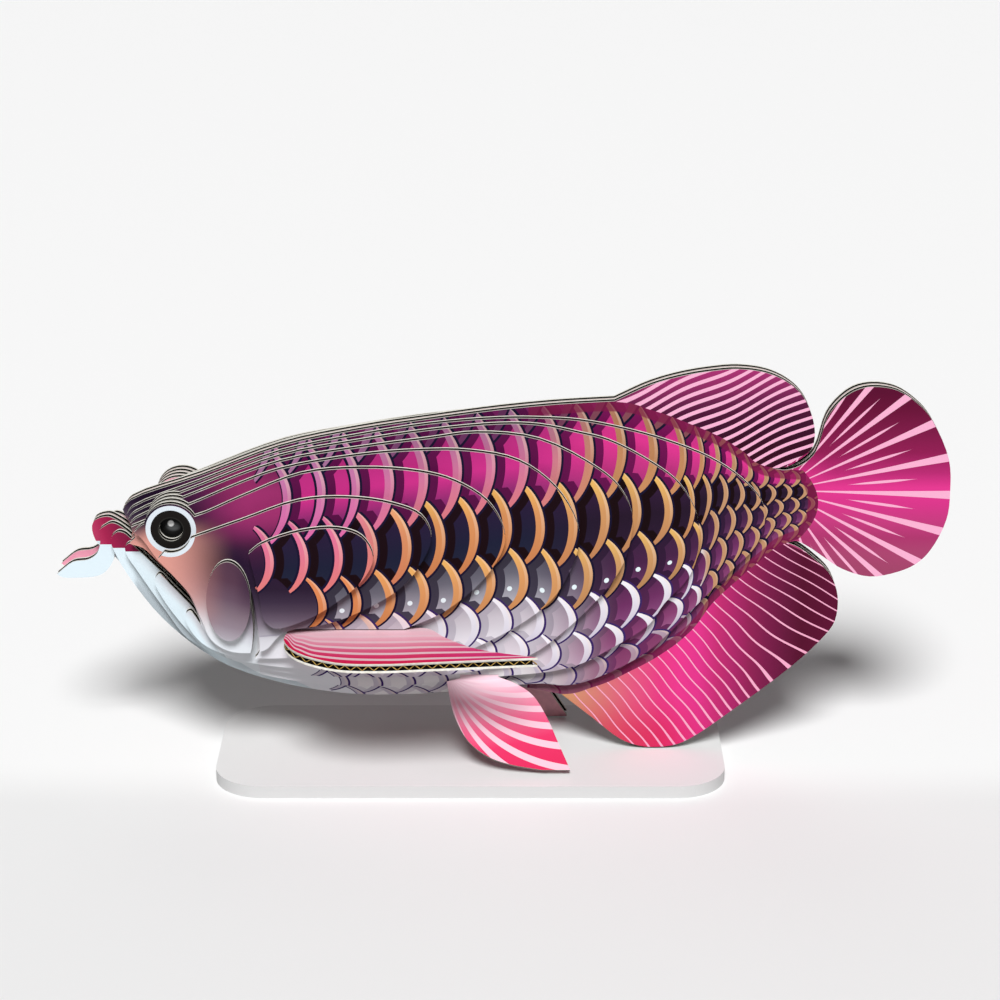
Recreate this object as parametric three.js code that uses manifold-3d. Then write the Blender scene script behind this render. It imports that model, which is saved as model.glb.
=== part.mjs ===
// Layered card model of an Asian arowana, standing on a plain base plate.
// Millimetres, +Z up. The fish lies along X with its head toward -X, and its
// left flank faces -Y. Z is measured from the underside of the base plate.

import * as THREE from 'three';
import { mergeVertices } from 'three/addons/utils/BufferGeometryUtils.js';
import Module from 'manifold-3d';

const wasm = await Module();
wasm.setup();

// Driving dimensions of the card stack
const PITCH = 1.6; // one sheet of corrugated card with its share of glue
const GLUE_LINE = 0.1; // clear gap between the faces of neighbouring sheets
const CARD = PITCH - GLUE_LINE;
const FIT = 0.2; // play between the pectoral fin and the slot that holds it
const SPAN_STEPS = 4; // straight steps in each curved span of an outline

// Base plate, and how far it lifts the fish
const BASE_LENGTH = 80;
const BASE_WIDTH = 32;
const BASE_THICKNESS = 2;
const BASE_CORNER = 8;
const BASE_MIDDLE_X = -5; // under the weight, ahead of the fins that the fish stands on
const REST_GAP = 0.3;
const LIFT = BASE_THICKNESS + REST_GAP;

// Eye: a round bump on four sheets of each side, with a pupil through the outer one
const EYE_X = -50.5;
const EYE_Z = 39.6;
const EYE_BUMP_RADIUS = 4.15;
const EYE_SEAT_RADIUS = 3.2;
const PUPIL_RADIUS = 1.85;
const ROUND_SIDES = 40;

// Gill cover: an oval of card glued on outside the cheek
const COVER_X = -41.8;
const COVER_Z = 29.05;
const COVER_HALF_LENGTH = 3.35;
const COVER_HALF_HEIGHT = 6.45;

// Side fins
const PECTORAL_TOP = 23.1;
const PECTORAL_FRONT = -33;
const PECTORAL_BACK = -14.2;
const PECTORAL_SEAT_SHEET = 4; // the fin is slotted through this sheet and those outside it
const PELVIC_SPLAY = THREE.MathUtils.degToRad(30);
const PELVIC_FOOT_Y = 10.8;
const PELVIC_SLOT_PLAY = 0.15;

// The mouth: the edge of the lower jaw, and how far the upper jaw stands off it, at the
// lips and behind them
const MOUTH_CORNER = [-46.4, 24];
const JAW_EDGE = [[-57.4, 36.5], [-56, 35.1], [-53.6, 32.6], [-51.2, 30.2], [-49.7, 28.5], [-47.8, 26.3]];
const LIP_GAP = 0.35;
const MOUTH_GAP = 0.95;

const upperJawEdge = JAW_EDGE.map(([x, z], place) => {
  const gap = place === 0 ? LIP_GAP : MOUTH_GAP;
  return [x + gap, z + gap];
}).reverse();

function jawEdgeBehind(x) {
  return [...JAW_EDGE.filter((point) => point[0] > x), MOUTH_CORNER];
}

function upperJawTo(nose) {
  return [MOUTH_CORNER, ...upperJawEdge, [nose[0] + 0.6, nose[1] - 1.6], nose];
}

// Each sheet of one side, from the middle out, as runs of [x, z] points. A run is
// smooth and the runs meet at corners; the last run returns to the first point.
const NOSE = [[-58.8, 40.1], [-58, 39.9], [-57.6, 39.6], [-57.1, 39.5], [-56.8, 39.4]];

const MIDDLE_SHEET = [
  // back
  [NOSE[0], [-57.5, 41.6], [-46.7, 45.5], [-34.2, 50.3], [-22, 53], [-11.1, 54.7], [-0.3, 56.2],
    [8.8, 57.1], [17.2, 57.6]],
  // dorsal fin
  [[17.2, 57.6], [22.7, 60.2], [27.4, 61.6], [32, 62.4], [36, 62.7], [40.3, 62.1], [43.4, 60.7],
    [45.7, 58.7], [47.2, 56], [48, 52.4], [47.5, 49.8], [45.5, 48], [43.6, 47], [41.6, 46.8]],
  // tail fin
  [[41.6, 46.8], [43.8, 46.5], [46.4, 47.5], [48.2, 49.4], [49.9, 55.1], [51.9, 57.8], [54, 59.3],
    [56.7, 59.9], [60.4, 59.3], [63.8, 57], [66, 54.4], [68.8, 48.2], [69.25, 43], [68.9, 38.4],
    [66.6, 33.3], [64.5, 31.1], [61.8, 29.8], [57.4, 29], [53, 30.3], [50, 32.3], [47.9, 33.8],
    [45.7, 34.9], [44.3, 34.6]],
  // anal fin
  [[44.3, 34.6], [46, 33.9], [48.8, 31.8], [51.2, 29.3], [52.5, 25.8], [52.2, 21.5], [50.7, 19.1],
    [45.9, 14.1], [35.8, 5.8], [30.9, 2.1], [27.9, 0.5], [24.9, 0], [21.9, 0.2], [18.8, 1.4],
    [14.4, 5], [9.4, 9.1]],
  // belly, chin and lip
  [[9.4, 9.1], [2.3, 10.4], [-9, 9.5], [-16, 9.1], [-24, 9.3], [-33.7, 10.8], [-42.3, 13.6],
    [-47, 16.4], [-53, 22.3], [-57.5, 28.6], [-60.6, 32.6], [-63, 34.6], [-63.7, 37.2],
    [-63.2, 38.3], [-61.2, 38.9], [-59.8, 38.3], ...jawEdgeBehind(-58)],
  upperJawTo(NOSE[0]),
];

const BARBEL_SHEET = [
  [NOSE[1], [-57, 41], [-46.6, 45.2], [-34.1, 50], [-22, 52.6], [-11.1, 54.4], [-0.3, 55.3],
    [5.8, 55.3], [11.9, 54.9], [18.5, 53.6], [25.1, 51.7], [31.9, 48.9], [36.9, 45.5],
    [40.1, 41.8], [40.6, 38.9], [39.5, 34.9], [34.5, 29.4], [29.4, 23.8], [22.8, 17], [14.5, 12.4],
    [10.1, 11.3], [6.3, 11.6], [-2, 11], [-16, 9.8], [-24, 9.9], [-33.7, 11.5], [-42.3, 14.4],
    [-47, 17.2], [-53.1, 22.9], [-57.6, 29.2], [-60.1, 33.6]],
  // lower edge of the barbel, out to its tip
  [[-60.1, 33.6], [-60.4, 32.3], [-61.6, 30.5], [-63, 29.7], [-66, 29.4], [-68.5, 29.5],
    [-69.25, 30]],
  // upper edge of the barbel, lip and jaw
  [[-69.25, 30], [-66.7, 32], [-64.3, 32.4], [-62.9, 33.4], [-62.3, 35.2], [-62.3, 37.2],
    [-61.5, 37.9], [-60.4, 38.4], [-59.4, 38.1], ...jawEdgeBehind(-58)],
  upperJawTo(NOSE[1]),
];

const SECOND_SHEET = [
  [NOSE[2], [-56.6, 40.6], [-46.4, 45], [-34, 49.8], [-22, 52.2], [-11, 53.9], [-0.3, 54.9],
    [5.7, 54.7], [11.9, 53.4], [16.3, 52.2], [23.1, 48.5], [27.3, 45.1], [30, 40.1], [30.4, 35],
    [29, 30.2], [25.2, 25.7], [22.9, 22.2], [16.7, 18], [12.6, 15.7], [8.2, 14.4], [0.1, 13.5],
    [-9, 12.6], [-16, 11.9], [-24, 11.9], [-33.7, 12.9], [-42.4, 15.3], [-47, 17.9], [-53.1, 23.5],
    [-57.6, 29.8], [-59.8, 34], [-60.4, 36.4], [-59.3, 37.5], [-58.3, 37.3],
    ...jawEdgeBehind(-58)],
  upperJawTo(NOSE[2]),
];

const THIRD_SHEET = [
  [NOSE[3], [-56.1, 40.3], [-46.3, 44.6], [-33.9, 49.4], [-22, 51.6], [-11, 53.1], [-4, 54],
    [5.7, 52.9], [14.9, 48], [18, 45.1], [19.9, 41], [19.6, 36], [18.2, 31.9], [14.6, 26.8],
    [8.7, 20.9], [4.5, 17.8], [-2, 15.5], [-9.7, 14.3], [-22, 14], [-33.7, 14.7], [-42.4, 17],
    [-48.8, 20.4], [-52.2, 25.2], [-56.1, 31.4], [-57.9, 34.5], [-58, 35.7], [-57.3, 36.2],
    ...jawEdgeBehind(-57)],
  upperJawTo(NOSE[3]),
];

const FOURTH_SHEET = [
  [NOSE[4], [-52.5, 41.2], [-47.7, 43], [-40, 46.4], [-33.8, 48.7], [-22, 50.9], [-12.5, 51.7],
    [-4.9, 51.6], [2.5, 50], [8.2, 45.7], [11.4, 40.2], [11.8, 36.6], [8.4, 28.5], [3.8, 24.2],
    [-4.2, 19.6], [-10, 17.4], [-22, 15.9], [-34, 16.3], [-45, 18.8], [-48.8, 22.6],
    [-52.6, 28.2], [-53.5, 30.8], [-52.7, 31.8], ...jawEdgeBehind(-52)],
  upperJawTo(NOSE[4]),
];

const FIFTH_SHEET = [
  [[-56.1, 39.2], [-54.7, 40.4], [-50.6, 41.2], [-46.7, 41.7], [-39.9, 44.7], [-30.5, 48.5],
    [-21.3, 49.4], [-12.5, 48.8], [-7.2, 47.3], [-2.3, 44.1], [0.1, 40], [0.3, 37], [-2.8, 31.6],
    [-8.8, 26.3], [-14.2, 23.7], [-22, 20.8], [-28, 19.3], [-33.7, 18.5], [-40, 18.6],
    [-42.8, 19.1], [-46.4, 21], [-48.6, 24.2], [-48.7, 25.9], [-48, 26.3], MOUTH_CORNER],
  [MOUTH_CORNER, [-46.9, 26], [-48.1, 29], [-50.1, 31.7], [-52.7, 34.7], [-54.9, 38], [-56.1, 39.2]],
];

const SIXTH_SHEET = [
  [[-46.9, 38.9], [-39.8, 41.5], [-30.9, 44.7], [-23.5, 45.2], [-16.6, 44.2], [-12.3, 42.3],
    [-10.8, 39], [-12.2, 35], [-15.3, 30.9], [-20.4, 27.5], [-26.5, 24.9], [-33.3, 23.5],
    [-34.8, 22.3], [-36.3, 20.6], [-38.9, 20], [-42.3, 20.4], [-44.8, 22.2], [-46, 25.1],
    [-46.7, 27], [-47.8, 29.7], [-49.7, 32.1], [-52.5, 35.3]],
  [[-52.5, 35.3], [-50.9, 37], [-46.9, 38.9]],
];

const FLANK_PANEL = [
  [[-38.5, 36.8], [-36.6, 38.3], [-30.5, 40.4], [-24.9, 40.8], [-21.3, 39.5], [-19.6, 36.2],
    [-21.3, 32.5], [-26.9, 27.8], [-30.9, 25.7], [-34.9, 24.7], [-36.5, 26.2], [-37, 29.5],
    [-38.5, 36.8]],
];

const SHEETS = [
  MIDDLE_SHEET, BARBEL_SHEET, SECOND_SHEET, THIRD_SHEET, FOURTH_SHEET, FIFTH_SHEET, SIXTH_SHEET,
  FLANK_PANEL,
];
const BUMP_SHEETS = [2, 3, 4, 5];
const GILL_SLOT_SHEETS = [5, 6];
const PELVIC_SLOT_SHEETS = [1, 2];

// The gill slot: a crescent that widens downward behind the gill cover
const GILL_SLOT = [
  [[-40.6, 35.3], [-39.1, 31.2], [-38.4, 26.5], [-38.3, 23.4], [-38.8, 20], [-39.8, 18.4]],
  [[-39.8, 18.4], [-39.6, 17.7], [-38, 18.8], [-37.4, 20.2], [-37.6, 24.7], [-38.4, 30.3],
    [-40.6, 35.3]],
];

// Pectoral fin seen from above, as runs of [x, distance out from the middle]
const PECTORAL_ROOT = PECTORAL_SEAT_SHEET * PITCH + FIT;
const PECTORAL = [
  [[PECTORAL_FRONT, PECTORAL_ROOT], [PECTORAL_FRONT, 9.8]],
  [[PECTORAL_FRONT, 9.8], [-33.4, 13.5], [-31, 18.6], [-25, 22.6], [-18.5, 23.2], [-10.4, 22.4],
    [5.3, 20.6]],
  [[5.3, 20.6], [-3.8, 17.2], [-8.9, 12.3], [-11.3, 8.9], [PECTORAL_BACK, 8.2]],
  [[PECTORAL_BACK, 8.2], [PECTORAL_BACK, PECTORAL_ROOT]],
  [[PECTORAL_BACK, PECTORAL_ROOT], [PECTORAL_FRONT, PECTORAL_ROOT]],
];

// Pelvic fin in its own plane, as runs of [x, distance up from the foot], and the
// tongue that enters the belly
const PELVIC = [
  [[10.6, 0], [8.9, 3.9], [6.8, 8.6], [4.8, 11.7], [2.2, 13.5], [-0.6, 14.6]],
  [[-0.6, 14.6], [-0.6, 16.2]],
  [[-0.6, 16.2], [-6.6, 16.2]],
  [[-6.6, 16.2], [-6.6, 14.4]],
  [[-6.6, 14.4], [-8.7, 13.9]],
  [[-8.7, 13.9], [-8.3, 11.7], [-7.4, 8.3], [-5.3, 4.5], [-2.2, 2.1], [1.1, 0.9], [6.2, 0]],
  [[6.2, 0], [10.6, 0]],
];

// Curves and solids

function smoothRun(points) {
  if (points.length < 3) {
    return points;
  }
  const knots = points.map(([u, v]) => new THREE.Vector3(u, v, 0));
  const curve = new THREE.CatmullRomCurve3(knots, false, 'centripetal');
  const spans = points.length - 1;
  return curve.getPoints(spans * SPAN_STEPS).map((p) => [p.x, p.y]);
}

function outlineShape(runs, smooth = true) {
  const points = [];
  for (const run of runs) {
    const drawn = smooth ? smoothRun(run) : run;
    points.push(...drawn.slice(0, -1));
  }
  return new THREE.Shape(points.map(([u, v]) => new THREE.Vector2(u, v)));
}

function ovalShape(x, z, halfLength, halfHeight) {
  const turn = (2 * Math.PI) / ROUND_SIDES;
  const points = [];
  for (let i = 0; i < ROUND_SIDES; i += 1) {
    points.push(new THREE.Vector2(x + halfLength * Math.cos(i * turn), z + halfHeight * Math.sin(i * turn)));
  }
  return new THREE.Shape(points);
}

// An upright slab: the shape's own y becomes Z, and it fills Y from yMin to yMax
function uprightSlab(shape, yMin, yMax) {
  const slab = new THREE.ExtrudeGeometry(shape, { depth: yMax - yMin, bevelEnabled: false, steps: 1 });
  slab.rotateX(Math.PI / 2);
  slab.translate(0, yMax, LIFT);
  return slab;
}

function toSolid(geometry) {
  const plain = geometry.clone();
  plain.deleteAttribute('normal');
  plain.deleteAttribute('uv');
  const merged = mergeVertices(plain, 1e-4);
  return new wasm.Manifold(new wasm.Mesh({
    numProp: 3,
    vertProperties: new Float32Array(merged.attributes.position.array),
    triVerts: new Uint32Array(merged.index.array),
  }));
}

function fromSolid(solid) {
  const bodies = solid.decompose();
  bodies.sort((a, b) => b.volume() - a.volume());
  const mesh = bodies[0].getMesh();
  const geometry = new THREE.BufferGeometry();
  geometry.setAttribute('position', new THREE.BufferAttribute(mesh.vertProperties, 3));
  geometry.setIndex(new THREE.BufferAttribute(mesh.triVerts, 1));
  geometry.computeVertexNormals();
  return geometry;
}

// The Y range of sheet number k; side is -1 for the left half and 1 for the right
function sheetRange(k, side) {
  const inner = k * PITCH + GLUE_LINE / 2;
  const outer = inner + CARD;
  return side < 0 ? [-outer, -inner] : [inner, outer];
}

function slabInSheet(shape, k, side, extra = 0) {
  const [yMin, yMax] = sheetRange(k, side);
  return toSolid(uprightSlab(shape, yMin - extra, yMax + extra));
}

// The pectoral fin lies level: its outline is drawn on X and Y
function pectoralSolid(side, play) {
  const shape = outlineShape(PECTORAL);
  const slab = new THREE.ExtrudeGeometry(shape, { depth: CARD + 2 * play, bevelEnabled: false, steps: 1 });
  slab.translate(0, 0, PECTORAL_TOP - CARD - play + LIFT);
  const solid = toSolid(slab);
  return side < 0 ? solid.mirror([0, 1, 0]) : solid;
}

function pectoralSlot(side) {
  const length = PECTORAL_BACK - PECTORAL_FRONT + 2 * FIT;
  const reach = 8 * PITCH - PECTORAL_SEAT_SHEET * PITCH;
  const slot = new THREE.BoxGeometry(length, reach, CARD + 2 * FIT);
  const middleY = PECTORAL_SEAT_SHEET * PITCH + reach / 2;
  slot.translate((PECTORAL_FRONT + PECTORAL_BACK) / 2, side * middleY, PECTORAL_TOP - CARD / 2 + LIFT);
  return toSolid(slot);
}

// The pelvic fin stands on its foot and leans in toward the belly
function pelvicSolid(side, play) {
  const shape = outlineShape(PELVIC);
  const slab = new THREE.ExtrudeGeometry(shape, { depth: CARD + 2 * play, bevelEnabled: false, steps: 1 });
  slab.translate(0, 0, -play);
  slab.rotateX(Math.PI / 2 - PELVIC_SPLAY);
  slab.translate(0, -PELVIC_FOOT_Y, LIFT);
  const solid = toSolid(slab);
  return side < 0 ? solid : solid.mirror([0, 1, 0]);
}

// Sub-parts

const printedCard = new THREE.MeshStandardMaterial({ color: 0x8a2f6b, roughness: 0.55, metalness: 0 });
const finCard = new THREE.MeshStandardMaterial({ color: 0xd8437f, roughness: 0.55, metalness: 0 });
const faceCard = new THREE.MeshStandardMaterial({ color: 0x6f4a66, roughness: 0.55, metalness: 0 });
const plateWhite = new THREE.MeshStandardMaterial({ color: 0xf0f0f0, roughness: 0.4, metalness: 0 });

function bodySheet(k, side) {
  let solid = slabInSheet(outlineShape(SHEETS[k]), k, side);
  if (BUMP_SHEETS.includes(k)) {
    solid = solid.add(slabInSheet(ovalShape(EYE_X, EYE_Z, EYE_BUMP_RADIUS, EYE_BUMP_RADIUS), k, side));
  }
  if (k === 5) {
    solid = solid.subtract(slabInSheet(ovalShape(EYE_X, EYE_Z, PUPIL_RADIUS, PUPIL_RADIUS), k, side, 1));
  }
  if (k === 6) {
    solid = solid.subtract(slabInSheet(ovalShape(EYE_X, EYE_Z, EYE_SEAT_RADIUS, EYE_SEAT_RADIUS), k, side, 1));
  }
  if (GILL_SLOT_SHEETS.includes(k)) {
    solid = solid.subtract(slabInSheet(outlineShape(GILL_SLOT), k, side, 1));
  }
  if (k >= PECTORAL_SEAT_SHEET && k < SHEETS.length - 1) {
    solid = solid.subtract(pectoralSlot(side));
  }
  if (PELVIC_SLOT_SHEETS.includes(k)) {
    solid = solid.subtract(pelvicSolid(side, PELVIC_SLOT_PLAY));
  }
  return fromSolid(solid);
}

function basePlate() {
  const halfLength = BASE_LENGTH / 2;
  const halfWidth = BASE_WIDTH / 2;
  const plate = new THREE.Shape();
  plate.absarc(halfLength - BASE_CORNER, halfWidth - BASE_CORNER, BASE_CORNER, 0, Math.PI / 2);
  plate.absarc(BASE_CORNER - halfLength, halfWidth - BASE_CORNER, BASE_CORNER, Math.PI / 2, Math.PI);
  plate.absarc(BASE_CORNER - halfLength, BASE_CORNER - halfWidth, BASE_CORNER, Math.PI, 1.5 * Math.PI);
  plate.absarc(halfLength - BASE_CORNER, BASE_CORNER - halfWidth, BASE_CORNER, 1.5 * Math.PI, 2 * Math.PI);
  const slab = new THREE.ExtrudeGeometry(plate, {
    depth: BASE_THICKNESS, bevelEnabled: false, curveSegments: 10,
  });
  slab.translate(BASE_MIDDLE_X, 0, 0);
  return slab;
}

const model = new THREE.Group();

function addPart(name, geometry, material) {
  const mesh = new THREE.Mesh(geometry, material);
  mesh.name = name;
  model.add(mesh);
}

for (const [sideName, side] of [['left', -1], ['right', 1]]) {
  for (let k = 0; k < SHEETS.length; k += 1) {
    addPart(`sheet_${k}_${sideName}`, bodySheet(k, side), printedCard);
  }
  const cover = ovalShape(COVER_X, COVER_Z, COVER_HALF_LENGTH, COVER_HALF_HEIGHT);
  addPart(`gill_cover_${sideName}`, fromSolid(slabInSheet(cover, 7, side)), faceCard);
  addPart(`pectoral_fin_${sideName}`, fromSolid(pectoralSolid(side, 0)), finCard);
  addPart(`pelvic_fin_${sideName}`, fromSolid(pelvicSolid(side, 0)), finCard);
}
addPart('stand_base', basePlate(), plateWhite);

export default model;
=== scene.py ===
import math

import bmesh
import bpy
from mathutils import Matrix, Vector


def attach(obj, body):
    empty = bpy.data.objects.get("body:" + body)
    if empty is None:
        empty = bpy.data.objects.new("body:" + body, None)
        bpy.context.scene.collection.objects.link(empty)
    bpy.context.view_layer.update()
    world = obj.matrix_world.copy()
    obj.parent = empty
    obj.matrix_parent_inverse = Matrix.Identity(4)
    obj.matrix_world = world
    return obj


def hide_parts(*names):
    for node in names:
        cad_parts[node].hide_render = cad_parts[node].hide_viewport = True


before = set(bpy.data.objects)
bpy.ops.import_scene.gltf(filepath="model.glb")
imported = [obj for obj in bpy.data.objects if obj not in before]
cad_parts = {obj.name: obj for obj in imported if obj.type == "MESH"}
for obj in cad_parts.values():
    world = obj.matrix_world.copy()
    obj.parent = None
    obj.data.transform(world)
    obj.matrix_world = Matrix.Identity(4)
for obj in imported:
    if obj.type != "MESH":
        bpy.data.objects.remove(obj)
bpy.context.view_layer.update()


# The body sheets are E-flute board: two white liners with a fluted paper core glued between them.
# Each is die-cut, so the cut edge shows the liners as pale lines and the core between them as a groove.
# Here a copy of the sheet's solid is sliced at the liners, and the band between is pushed in. The
# groove's floor and walls get a near-black paper, painted shade of the hollow core.

MM = 0.001
LINER = 0.38 * MM
CORE_RECESS = 0.4 * MM
MITRE_LIMIT = 1.8
SOFT_EDGE = math.radians(28)
WELD = 0.002 * MM
SQUARE_ON = 0.95
PRINT, BACK, EDGE, CORE = range(4)


def cut_card(name, node, outward, materials):
    """A card piece with the node's outline; outward is the way its printed face looks"""
    card = bmesh.new()
    card.from_mesh(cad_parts[node].data)
    bmesh.ops.remove_doubles(card, verts=card.verts, dist=WELD)
    heights = [corner.co.dot(outward) for corner in card.verts]
    back, front = min(heights), max(heights)
    for height in (back + LINER, front - LINER):
        everything = card.verts[:] + card.edges[:] + card.faces[:]
        bmesh.ops.bisect_plane(
            card, geom=everything, dist=1e-7, plane_co=outward * height, plane_no=outward
        )
    card.normal_update()
    for face in card.faces:
        height = face.calc_center_median().dot(outward)
        turned = face.normal.dot(outward)
        face.material_index = EDGE
        if turned > SQUARE_ON and height > front - 0.1 * LINER:
            face.material_index = PRINT
        elif turned < -SQUARE_ON and height < back + 0.1 * LINER:
            face.material_index = BACK
        elif back + LINER < height < front - LINER:
            face.material_index = CORE
    core = [face for face in card.faces if face.material_index == CORE]
    pushed = bmesh.ops.extrude_face_region(card, geom=core)["geom"]
    bmesh.ops.delete(card, geom=core, context="FACES_ONLY")
    card.normal_update()
    floor_faces = {face for face in pushed if isinstance(face, bmesh.types.BMFace)}
    moves = []
    for corner in (item for item in pushed if isinstance(item, bmesh.types.BMVert)):
        normals = [face.normal for face in corner.link_faces if face in floor_faces]
        lean = sum(normals, Vector())
        lean.normalize()
        spread = min((lean.dot(normal) for normal in normals), default=1)
        moves.append((corner, lean * CORE_RECESS * min(1 / max(spread, 0.01), MITRE_LIMIT)))
        # The groove's walls are liner paper, but take the core's near-black paper as painted shade
        for face in corner.link_faces:
            face.material_index = CORE
    for corner, move in moves:
        corner.co -= move
    mesh = bpy.data.meshes.new(name)
    card.to_mesh(mesh)
    card.free()
    mesh.set_sharp_from_angle(angle=SOFT_EDGE)
    for face in mesh.polygons:
        face.use_smooth = face.material_index in (EDGE, CORE)
    for material in materials:
        mesh.materials.append(material)
    piece = bpy.data.objects.new(name, mesh)
    bpy.context.scene.collection.objects.link(piece)
    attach(piece, "root")
    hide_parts(node)
    return piece


# The medium is the wavy paper glued between the liners, bare kraft. Its flutes run one way, so an
# edge cut across them shows a zigzag from liner to liner, and one cut along them an open slot.
# A thin wire laid in the groove follows the wave wherever the cut outline crosses it.

FLUTE_RUN = 0.875 * MM
FLUTE_PAPER = 0.075 * MM
SHARPEST_MITRE = 0.35
DEEP = 0.36 * MM
SHALLOW = 0.12 * MM
UP = Vector((0, 0, 1))
LENGTHWAYS = Vector((1, 0, 0))


def outline_loops(card, outward, front):
    """The closed rims of the card's printed face, each as a list of points in order"""
    steps = {}
    for edge in card.edges:
        flat = [face for face in edge.link_faces if face.normal.dot(outward) > SQUARE_ON]
        level = min(corner.co.dot(outward) for corner in edge.verts)
        if len(flat) == 1 and level > front - 0.01 * MM:
            ahead = next(loop for loop in flat[0].loops if loop.edge == edge)
            steps[ahead.vert] = ahead.link_loop_next.vert
    loops = []
    while steps:
        here = next(iter(steps))
        loop = []
        while here in steps:
            loop.append(here.co.copy())
            here = steps.pop(here)
        loops.append(loop)
    return loops


def flute_wave(name, node, outward, across, material, depth):
    """The medium seen in the cut edge of a card whose flutes lie square to the way across"""
    card = bmesh.new()
    card.from_mesh(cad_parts[node].data)
    bmesh.ops.remove_doubles(card, verts=card.verts, dist=WELD)
    heights = [corner.co.dot(outward) for corner in card.verts]
    back, front = min(heights), max(heights)
    curve = bpy.data.curves.new(name, "CURVE")
    curve.dimensions = "3D"
    curve.bevel_depth = FLUTE_PAPER
    curve.bevel_resolution = 0
    for rim in outline_loops(card, outward, front):
        wave = []
        ends = rim[1:] + rim[:1]
        inwards = [outward.cross((end - start).normalized()) for start, end in zip(rim, ends)]
        for start, end, before, inward in zip(rim, ends, inwards[-1:] + inwards, inwards):
            mitre = (before + inward) / max(1 + before.dot(inward), SHARPEST_MITRE)
            first, second = start.dot(across) / FLUTE_RUN, end.dot(across) / FLUTE_RUN
            low, high = math.floor(min(first, second)) + 1, math.ceil(max(first, second))
            crests = sorted((crest - first) / (second - first) for crest in range(low, high))
            for share in [0] + crests:
                place = start.lerp(end, share)
                swing = abs((place.dot(across) / FLUTE_RUN / 2) % 1 * 2 - 1)
                drop = LINER + swing * (front - back - 2 * LINER)
                inset = inward if share else mitre
                wave.append(place + inset * depth - outward * drop)
        spline = curve.splines.new("POLY")
        spline.points.add(len(wave) - 1)
        for point, place in zip(spline.points, wave):
            point.co = (*place, 1)
        spline.use_cyclic_u = True
    card.free()
    path = bpy.data.objects.new(name + "_path", curve)
    bpy.context.scene.collection.objects.link(path)
    drawn = path.evaluated_get(bpy.context.evaluated_depsgraph_get())
    mesh = bpy.data.meshes.new_from_object(drawn)
    bpy.data.objects.remove(path)
    mesh.name = name
    mesh.materials.clear()
    mesh.materials.append(material)
    piece = bpy.data.objects.new(name, mesh)
    bpy.context.scene.collection.objects.link(piece)
    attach(piece, "root")
    return piece


# Inks and papers. The printed liner carries a satin varnish over four-colour inks, and under it
# the board shows faintly through as a fine grain and the washboard of the flutes.
# A Mark is one number worked out for every point of a printed face.

CARD_WHITE = 0.8


def ink(code):
    """A named print colour, such as #c22f7a, on the card's own white, as the values a shader takes"""
    levels = [int(code[i : i + 2], 16) / 255 for i in (1, 3, 5)]
    light = [v / 12.92 if v <= 0.04045 else ((v + 0.055) / 1.055) ** 2.4 for v in levels]
    return [CARD_WHITE * v for v in light] + [1]


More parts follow.
